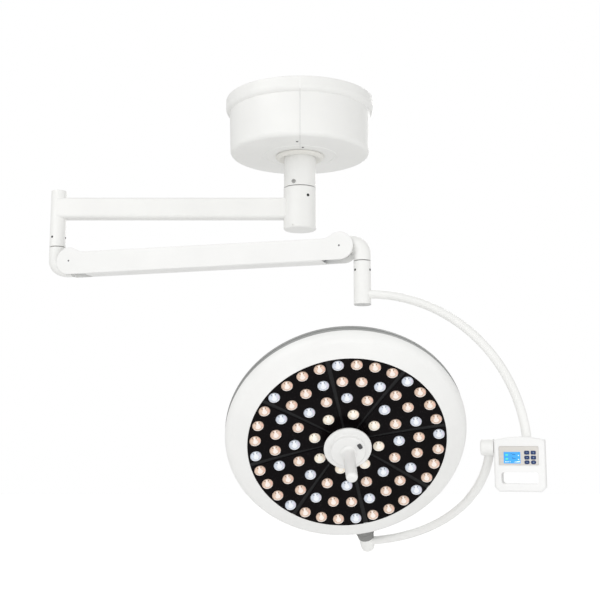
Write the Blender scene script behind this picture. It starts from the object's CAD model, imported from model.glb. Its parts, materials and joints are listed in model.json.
"""Looks for the ceiling mounted surgical light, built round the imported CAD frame. Metres, +Z up."""

import json
from math import cos, pi, radians, sin, sqrt

import bpy
from mathutils import Matrix, Vector


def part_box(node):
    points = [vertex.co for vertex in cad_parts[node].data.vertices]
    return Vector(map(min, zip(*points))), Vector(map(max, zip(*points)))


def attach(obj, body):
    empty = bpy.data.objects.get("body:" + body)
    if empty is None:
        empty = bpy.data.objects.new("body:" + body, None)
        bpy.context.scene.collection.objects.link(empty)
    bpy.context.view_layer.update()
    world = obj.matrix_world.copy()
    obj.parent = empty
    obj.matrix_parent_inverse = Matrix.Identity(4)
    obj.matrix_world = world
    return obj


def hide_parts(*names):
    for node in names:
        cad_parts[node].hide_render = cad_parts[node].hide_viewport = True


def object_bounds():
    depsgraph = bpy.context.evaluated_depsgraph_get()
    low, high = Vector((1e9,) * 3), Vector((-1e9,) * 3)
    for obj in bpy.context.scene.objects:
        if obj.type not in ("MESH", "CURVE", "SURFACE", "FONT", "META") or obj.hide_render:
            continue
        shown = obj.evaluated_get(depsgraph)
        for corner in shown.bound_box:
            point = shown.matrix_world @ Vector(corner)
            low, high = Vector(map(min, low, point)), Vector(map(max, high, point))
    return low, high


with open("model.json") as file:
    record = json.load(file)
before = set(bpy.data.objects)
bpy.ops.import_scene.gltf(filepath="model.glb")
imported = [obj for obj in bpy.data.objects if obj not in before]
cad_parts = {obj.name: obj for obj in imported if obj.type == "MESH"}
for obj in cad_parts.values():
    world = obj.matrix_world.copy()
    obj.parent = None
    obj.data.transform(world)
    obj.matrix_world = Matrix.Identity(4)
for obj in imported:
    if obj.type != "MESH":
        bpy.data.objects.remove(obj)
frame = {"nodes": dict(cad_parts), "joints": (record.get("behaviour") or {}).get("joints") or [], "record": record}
cad_low, cad_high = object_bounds()
nodes = frame["nodes"]
joints = {joint["name"]: joint for joint in frame["joints"]}
slot_of = {part["node"]: part["material_slot"] for part in frame["record"]["subparts"]}
mm = 0.001

# ---- frames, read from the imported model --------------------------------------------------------


def middle(node):
    """The middle of a CAD node's box at rest."""
    low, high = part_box(node)
    return (low + high) / 2


def axis(joint):
    """A joint's axis as a unit vector."""
    return Vector(joints[joint]["axis"]).normalized()


def frame_matrix(origin, x, y, z):
    """A matrix whose columns are three axes and an origin."""
    matrix = Matrix((x, y, z)).transposed().to_4x4()
    matrix.translation = origin
    return matrix


band_half = 12.5 * mm  # from the middle of the edge band to the rim
light, stem = axis("handle_pull"), axis("head_turn")
head_right = light.cross(stem)
rim_centre = middle("edge_band") + light * band_half
head = frame_matrix(rim_centre, head_right, -stem, light)  # X right, Y up, Z out of the dome

along, inward = axis("yoke_pitch"), axis("key_press_1")
pitch_height = joints["yoke_pitch"]["pos_m"][2]
yoke_origin = Vector((*joints["yoke_swivel"]["pos_m"][:2], pitch_height))
yoke = frame_matrix(yoke_origin, along, Vector((0, 0, 1)), -inward)  # Z out of the control panel

# ---- camera and lights -------------------------------------------------------------------------

camera_back, camera_drop, camera_tilt = 3.136, 1.122, 8.5  # metres, metres, degrees
camera_lens, camera_sensor = 60, 36
camera = bpy.data.objects.new("camera", bpy.data.cameras.new("camera"))
camera.data.lens = camera_lens
camera.data.sensor_width = camera_sensor
camera.location = (0, -camera_back, -camera_drop)
camera.rotation_euler = (radians(90 + camera_tilt), 0, 0)
bpy.context.scene.collection.objects.link(camera)
bpy.context.scene.camera = camera
bpy.context.scene.view_settings.view_transform = "Standard"


def area_light(name, place, target, size, power):
    """A soft square white light that points at a target."""
    lamp = bpy.data.objects.new(name, bpy.data.lights.new(name, "AREA"))
    lamp.data.size = size
    lamp.data.energy = power
    lamp.location = place
    lamp.rotation_euler = (Vector(target) - Vector(place)).to_track_quat("-Z", "Y").to_euler()
    bpy.context.scene.collection.objects.link(lamp)


centre = (cad_low + cad_high) / 2
area_light("key", centre + Vector((-2.4, -2.6, 2.0)), centre, 3.4, 50)
area_light("fill", centre + Vector((2.8, -2.2, 0.2)), centre, 3.0, 20)
area_light("front", (0.2, -3.6, -1.3), (0.13, -0.2, -1.1), 1.8, 17)
area_light("rim", centre + Vector((0.8, 2.6, 1.6)), centre, 2.0, 30)

seen_white, lit_white = (1, 1, 1, 1), (1, 1, 0.99, 1)
seen_strength, lit_strength = 1.0, 0.64


def world_light():
    """White to the eye, and a little dimmer as light, so that white enamel keeps its shading."""
    world = bpy.data.worlds.new("studio")
    bpy.context.scene.world = world
    world.use_nodes = True
    tree = world.node_tree
    tree.nodes.clear()
    seen, lit = tree.nodes.new("ShaderNodeBackground"), tree.nodes.new("ShaderNodeBackground")
    seen.inputs["Strength"].default_value = seen_strength
    seen.inputs["Color"].default_value = seen_white
    lit.inputs["Strength"].default_value = lit_strength
    lit.inputs["Color"].default_value = lit_white
    path, mix = tree.nodes.new("ShaderNodeLightPath"), tree.nodes.new("ShaderNodeMixShader")
    out = tree.nodes.new("ShaderNodeOutputWorld")
    tree.links.new(path.outputs["Is Camera Ray"], mix.inputs["Fac"])
    tree.links.new(lit.outputs[0], mix.inputs[1])
    tree.links.new(seen.outputs[0], mix.inputs[2])
    tree.links.new(mix.outputs[0], out.inputs["Surface"])


world_light()

# ---- materials ---------------------------------------------------------------------------------

coat_rough, least_rough = 0.06, 0.02
cloud_detail, grain_detail = 6, 2
ramp_low, ramp_high = 0.3, 0.7
grain_height = 0.05 * mm


def surface(name, colour, rough, metal=0.0, coat=0.0, specular=0.5, mottle=0.02, mottle_scale=7.0,
            grain=0.05, grain_scale=700.0, stretch=(1, 1, 1), rough_change=0.05):
    """A plain finish: colour that varies a little, gloss that varies, and a fine raised grain."""
    material = bpy.data.materials.new(name)
    material.use_nodes = True
    tree = material.node_tree
    shader = tree.nodes["Principled BSDF"]
    shader.inputs["Metallic"].default_value = metal
    shader.inputs["Coat Weight"].default_value = coat
    shader.inputs["Coat Roughness"].default_value = coat_rough
    shader.inputs["Specular IOR Level"].default_value = specular
    place = tree.nodes.new("ShaderNodeTexCoord")
    mapping = tree.nodes.new("ShaderNodeMapping")
    mapping.inputs["Scale"].default_value = stretch
    tree.links.new(place.outputs["Object"], mapping.inputs["Vector"])
    cloud = tree.nodes.new("ShaderNodeTexNoise")
    cloud.inputs["Scale"].default_value = mottle_scale
    cloud.inputs["Detail"].default_value = cloud_detail
    tree.links.new(mapping.outputs["Vector"], cloud.inputs["Vector"])
    ramp = tree.nodes.new("ShaderNodeValToRGB")
    ramp.color_ramp.elements[0].position = ramp_low
    ramp.color_ramp.elements[1].position = ramp_high
    ramp.color_ramp.elements[0].color = (*[c * (1 - mottle) for c in colour], 1)
    ramp.color_ramp.elements[1].color = (*[min(1, c * (1 + mottle)) for c in colour], 1)
    tree.links.new(cloud.outputs["Fac"], ramp.inputs["Fac"])
    tree.links.new(ramp.outputs["Color"], shader.inputs["Base Color"])
    gloss = tree.nodes.new("ShaderNodeMapRange")
    gloss.inputs["To Min"].default_value = max(least_rough, rough - rough_change)
    gloss.inputs["To Max"].default_value = rough + rough_change
    tree.links.new(cloud.outputs["Fac"], gloss.inputs["Value"])
    tree.links.new(gloss.outputs["Result"], shader.inputs["Roughness"])
    fine = tree.nodes.new("ShaderNodeTexNoise")
    fine.inputs["Scale"].default_value = grain_scale
    fine.inputs["Detail"].default_value = grain_detail
    tree.links.new(mapping.outputs["Vector"], fine.inputs["Vector"])
    bump = tree.nodes.new("ShaderNodeBump")
    bump.inputs["Strength"].default_value = grain
    bump.inputs["Distance"].default_value = grain_height
    tree.links.new(fine.outputs["Fac"], bump.inputs["Height"])
    tree.links.new(bump.outputs["Normal"], shader.inputs["Normal"])
    return material


def glow(material, colour, strength):
    """Give a material a light of its own, for the lit display and the lenses."""
    shader = material.node_tree.nodes["Principled BSDF"]
    shader.inputs["Emission Color"].default_value = (*colour, 1)
    shader.inputs["Emission Strength"].default_value = strength
    return material


finishes = {
    "enamel": surface("enamel", (0.86, 0.86, 0.845), 0.42, coat=0.08, grain=0.03, grain_scale=420),
    "enamel_aluminium": surface("dome_enamel", (0.87, 0.87, 0.86), 0.4, coat=0.1, grain=0.03,
                                grain_scale=380),
    "cover_plastic": surface("cover_plastic", (0.86, 0.86, 0.85), 0.44, coat=0.05, grain=0.06,
                             grain_scale=900),
    "box_plastic": surface("box_plastic", (0.87, 0.87, 0.865), 0.46, grain=0.12, grain_scale=1400),
    "hub_white": surface("hub_white", (0.87, 0.87, 0.86), 0.32, coat=0.15, grain=0.04),
    "handle_plastic": surface("handle_plastic", (0.87, 0.87, 0.86), 0.38, grain=0.1,
                              grain_scale=1200),
    "collar_plastic": surface("collar_plastic", (0.8, 0.79, 0.75), 0.36, coat=0.1),
    "bush_plastic": surface("bush_plastic", (0.7, 0.69, 0.64), 0.5),
    "grey_plastic": surface("grey_plastic", (0.58, 0.58, 0.575), 0.45, grain=0.1, grain_scale=1200),
    "band_grey": surface("band_grey", (0.32, 0.325, 0.32), 0.4, coat=0.05, mottle=0.05, grain=0.05),
    "boot_rubber": surface("boot_rubber", (0.24, 0.24, 0.235), 0.6, specular=0.3, mottle=0.1,
                           grain=0.2, grain_scale=1500),
    "frame_grey": surface("frame_grey", (0.013, 0.013, 0.014), 0.4, specular=0.2, mottle=0.1),
    "panel_black": surface("panel_black", (0.004, 0.003, 0.0035), 0.14, specular=0.07, mottle=0.2,
                           mottle_scale=12, grain=0.03, grain_scale=260, rough_change=0.03),
    "steel": surface("steel", (0.56, 0.57, 0.59), 0.32, metal=1, mottle=0.06, grain=0.2,
                     stretch=(1, 1, 12)),
    "dark_steel": surface("dark_steel", (0.18, 0.18, 0.19), 0.38, metal=1, mottle=0.1, grain=0.2),
    "black_steel": surface("black_steel", (0.02, 0.02, 0.022), 0.34, metal=0.6, mottle=0.2,
                           grain=0.2),
    "bearing_steel": surface("bearing_steel", (0.62, 0.63, 0.65), 0.14, metal=1, mottle=0.03),
    "spring_steel": surface("spring_steel", (0.25, 0.26, 0.28), 0.3, metal=1, mottle=0.1),
    "stainless": surface("stainless", (0.62, 0.6, 0.57), 0.4, metal=0.75, mottle=0.05, grain=0.3,
                         grain_scale=500, stretch=(1, 1, 30)),
    "board": surface("board", (0.03, 0.16, 0.07), 0.4, coat=0.2, mottle=0.2, mottle_scale=90),
    "key_navy": surface("key_navy", (0.006, 0.03, 0.13), 0.42, mottle=0.08, grain=0.2,
                        grain_scale=1500),
    "lcd_glass": glow(surface("lcd_glass", (0.04, 0.3, 0.72), 0.12, mottle=0.12, mottle_scale=30),
                      (0.06, 0.38, 0.85), 0.42),
    "lens_clear": surface("lens_clear", (0.72, 0.7, 0.68), 0.12, coat=0.4),
    "lock_grey": surface("lock_grey", (0.06, 0.06, 0.065), 0.4, mottle=0.1, grain=0.2),
}
washer_grey = surface("washer_grey", (0.34, 0.34, 0.33), 0.45, metal=0.4, mottle=0.1)
own_finish = {"spindle_lock_screws": washer_grey}
for name, node in nodes.items():
    node.data.materials.clear()
    node.data.materials.append(own_finish.get(name, finishes[slot_of[name]]))

# ---- mesh helpers ------------------------------------------------------------------------------


def mesh_object(name, points, faces, materials, picks=None, smooth=True):
    """A mesh from points and faces, with each face's material picked from a list."""
    mesh = bpy.data.meshes.new(name)
    mesh.from_pydata(points, [], faces)
    for material in materials:
        mesh.materials.append(material)
    if picks:
        mesh.polygons.foreach_set("material_index", picks)
    mesh.polygons.foreach_set("use_smooth", [smooth] * len(faces))
    mesh.update()
    made = bpy.data.objects.new(name, mesh)
    bpy.context.scene.collection.objects.link(made)
    return made


def turned_shape(profile, steps, picks):
    """Points, faces and material picks of a profile of (radius, height) turned about Z.

    The profile's last point is the tip.
    """
    points, faces, chosen = [], [], []
    ring_count = len(profile) - 1
    for radius, height in profile[:-1]:
        for step in range(steps):
            angle = 2 * pi * step / steps
            points.append(Vector((radius * cos(angle), radius * sin(angle), height)))
    points.append(Vector((0, 0, profile[-1][1])))
    for ring in range(ring_count - 1):
        for step in range(steps):
            after = (step + 1) % steps
            faces.append((ring * steps + step, ring * steps + after,
                          (ring + 1) * steps + after, (ring + 1) * steps + step))
            chosen.append(picks(ring, step))
    for step in range(steps):
        last = (ring_count - 1) * steps
        faces.append((last + step, last + (step + 1) % steps, len(points) - 1))
        chosen.append(picks(ring_count - 1, step))
    return points, faces, chosen


# ---- lenses ------------------------------------------------------------------------------------

lens_rings = ((264, 32), (207.3, 24), (150.6, 16), (94, 8))  # radius in millimetres, lenses
ring_tints = (("cool", "warm", "warm", "warm"), ("warm", "warm", "cool"), ("cool", "warm"),
              ("neutral",))
tints = {"cool": (0.66, 0.71, 0.8), "warm": (0.76, 0.56, 0.44), "neutral": (1, 0.87, 0.72)}
dish_z, dish_radius, panel_thick, panel_turn = 22.8 * mm, 2035 * mm, 3 * mm, radians(1.8)
lens_steps = 36
lens_profile = [(r * mm, h * mm) for r, h in (
    (16.3, 2.7), (16.3, 4.3), (15.9, 4.9), (15.3, 5.1), (14.7, 4.9), (14.3, 4.5), (13.8, 4.8),
    (12.7, 6.0), (11.1, 7.3), (9.2, 8.2), (7.2, 8.9), (5.2, 9.3), (4.6, 9.1), (3.4, 9.3),
    (1.8, 9.6), (0, 9.7))]

# The materials of a lens, in the order in which make_lenses lists them.
rim_pick, dome_pick, bright_pick, stroke_pick, flank_pick = range(5)
# The rings of a lens run from its wall inwards; each name is the first ring past a zone.
wall_end, lip_end, flank_end, narrow_end, slope_end = 2, 5, 8, 9, 10
stroke_rings = (6, 7)
# Angles in degrees: the crescent's run from +X, the others from the zone's own middle.
crescent_from, crescent_to = 205, 335
narrow_glint, wide_glint, stroke_from, stroke_to, flank_half = 10, 32, 20, 30, 35
lens_top, full_turn = 90, 360


def lens_pick(ring, step):
    """Which material a lens face has, by its ring and its place round the ring."""
    angle = full_turn * (step + 0.5) / lens_steps
    from_top = abs(angle - lens_top)
    if ring < wall_end:
        return rim_pick
    if ring < lip_end:
        return bright_pick if crescent_from < angle < crescent_to else rim_pick
    if from_top < (narrow_glint if ring < narrow_end else wide_glint) or ring >= slope_end:
        return bright_pick
    if ring in stroke_rings and stroke_from < from_top < stroke_to:
        return stroke_pick
    if ring < flank_end and (angle < flank_half or angle > full_turn - flank_half):
        return flank_pick
    return dome_pick


def lens_seat(x, y):
    """The matrix of one lens, square to the dish."""
    reach = x * x + y * y
    below = dish_radius + panel_thick
    height = dish_z + dish_radius - sqrt(below * below - reach)
    spot = Vector((x, y, height))
    normal = (Vector((0, 0, dish_z + dish_radius)) - spot).normalized()
    across = Vector((0, 1, 0)).cross(normal).normalized()
    return head @ frame_matrix(spot, across, normal.cross(across), normal)


def lens_places(tint):
    """The places of the lenses of one tint; tints run clockwise from each spoke."""
    places = []
    for (radius, count), pattern in zip(lens_rings, ring_tints):
        for place in range(count):
            clockwise = (count - 1 - place) % len(pattern)
            if pattern[clockwise] == tint:
                angle = 2 * pi * (place + 0.5) / count + panel_turn
                places.append((radius * mm * cos(angle), radius * mm * sin(angle)))
    return places


def make_lenses(tint, colour):
    """All lenses of one tint, as one piece."""
    shape, faces, picks = turned_shape(lens_profile, lens_steps, lens_pick)
    points, all_faces, all_picks = [], [], []
    for x, y in lens_places(tint):
        start = len(points)
        seat = lens_seat(x, y)
        points += [seat @ point for point in shape]
        all_faces += [tuple(start + corner for corner in face) for face in faces]
        all_picks += picks
    red, green, blue = colour
    pale = tuple(0.4 * c + 0.6 for c in colour)
    flank = (min(1, 1.1 * red), 0.9 * green, 0.95 * blue)
    materials = [
        surface(f"lens_rim_{tint}", tuple(0.8 * c for c in colour), 0.16, coat=0.4),
        glow(surface(f"lens_dome_{tint}", colour, 0.12, coat=0.5, mottle=0.1, mottle_scale=160,
                     grain=0.0), colour, 0.06),
        glow(surface(f"lens_core_{tint}", pale, 0.14, coat=0.5, mottle=0.04, mottle_scale=200),
             pale, 0.1),
        surface(f"lens_stroke_{tint}", tuple(0.2 * c for c in colour), 0.2, coat=0.4),
        glow(surface(f"lens_flank_{tint}", flank, 0.14, coat=0.4), flank, 0.1),
    ]
    lenses = mesh_object(f"lenses_{tint}", points, all_faces, materials, all_picks)
    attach(lenses, "lamp_head")
    return lenses


lens_pieces = [make_lenses(tint, colour) for tint, colour in tints.items()]
for piece in lens_pieces:
    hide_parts("lens_array")

# ---- control panel -----------------------------------------------------------------------------

mark_thick, mark_corner, corner_steps = 0.1, 0.4, 4


def plate(name, x, y, z, width, height, material, body, corner):
    """A thin raised mark with round corners, placed in the yoke's frame in millimetres."""
    outline = []
    for cx, cy, start in ((1, 1, 0), (-1, 1, 90), (-1, -1, 180), (1, -1, 270)):
        for step in range(corner_steps + 1):
            angle = radians(start + 90 * step / corner_steps)
            outline.append((x + cx * (width / 2 - corner) + corner * cos(angle),
                            y + cy * (height / 2 - corner) + corner * sin(angle)))
    count = len(outline)
    points = [yoke @ (Vector((px, py, z + lift)) * mm)
              for lift in (0, mark_thick) for px, py in outline]
    faces = [tuple(range(count, 2 * count)), tuple(reversed(range(count)))]
    faces += [(i, (i + 1) % count, count + (i + 1) % count, count + i) for i in range(count)]
    made = mesh_object(name, points, faces, [material], smooth=False)
    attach(made, body)


lcd_face, key_face = 24.2, 26.4  # how far the display and the keys stand out of the yoke's frame
lcd_white = glow(surface("lcd_white", (0.8, 0.9, 0.95), 0.3), (0.8, 0.92, 1), 0.5)
lcd_green = glow(surface("lcd_green", (0.1, 0.7, 0.35), 0.3), (0.12, 0.75, 0.4), 0.35)
lcd_deep = glow(surface("lcd_deep", (0.02, 0.14, 0.42), 0.2), (0.02, 0.14, 0.45), 0.25)
icon_pale = surface("icon_pale", (0.22, 0.34, 0.5), 0.5)


def lcd_mark(name, x, y, width, height, colour, corner=mark_corner):
    """A flat mark on the display."""
    plate(name, x, y, lcd_face, width, height, colour, "yoke", corner)


row_heights, foot_height, step_base = (-20.5, -31), -38.6, -39.9
sign_x, tail_x, value_x, dot_x = 401, 413, 420, 432
foot_x, foot_pitch, foot_count = 398.5, 5.5, 3
step_x, step_pitch, step_count = 421, 2.6, 6
for row, y in enumerate(row_heights):
    lcd_mark(f"lcd_sign_{row}", sign_x, y, 7, 3.6, lcd_green, 1.6)
    lcd_mark(f"lcd_value_{row}", value_x, y + 1, 9, 1.8, lcd_deep)
    lcd_mark(f"lcd_tail_{row}", tail_x + 3 * row, y + 3.4, 4, 1.2, lcd_deep)
    lcd_mark(f"lcd_dot_{row}", dot_x, y - 1.6, 2.6, 2.6, lcd_white, 1.2)
for dot in range(foot_count):
    lcd_mark(f"lcd_foot_{dot}", foot_x + foot_pitch * dot, foot_height, 2.8 - 0.6 * dot, 2.6,
             lcd_white, 0.9)
for step in range(step_count):
    height = 0.8 + 0.5 * step
    lcd_mark(f"lcd_step_{step}", step_x + step_pitch * step, step_base + height / 2, 2.2, height,
             lcd_white, 0.2)

key_count, stroke_long, stroke_short = 6, 4.2, 1
for number in range(1, key_count + 1):
    spot = yoke.inverted() @ middle(f"button_{number}") / mm
    body = f"key_{number}"
    plate(f"key_mark_{number}", spot.x, spot.y, key_face, stroke_long, stroke_short, icon_pale,
          body, mark_corner)
    if number % 2 == 0:
        plate(f"key_cross_{number}", spot.x, spot.y, key_face, stroke_short, stroke_long,
              icon_pale, body, mark_corner)

# ---- floor -------------------------------------------------------------------------------------

floor_drop, floor_half, floor_glow = 0.45, 14, 0.5


def seamless(material):
    """Lift a floor to white for the camera alone, so that it lights nothing by itself."""
    tree = material.node_tree
    shader = tree.nodes["Principled BSDF"]
    shader.inputs["Emission Color"].default_value = (floor_glow, floor_glow, floor_glow, 1)
    path = tree.nodes.new("ShaderNodeLightPath")
    tree.links.new(path.outputs["Is Camera Ray"], shader.inputs["Emission Strength"])
    return material


floor_z = cad_low.z - floor_drop
floor = mesh_object(
    "floor",
    [(x, y, floor_z) for x, y in ((-floor_half, -floor_half), (floor_half, -floor_half),
                                  (floor_half, floor_half), (-floor_half, floor_half))],
    [(0, 1, 2, 3)],
    [seamless(surface("floor", (0.94, 0.94, 0.94), 0.7, specular=0.05, mottle=0.01, grain=0.0))],
)
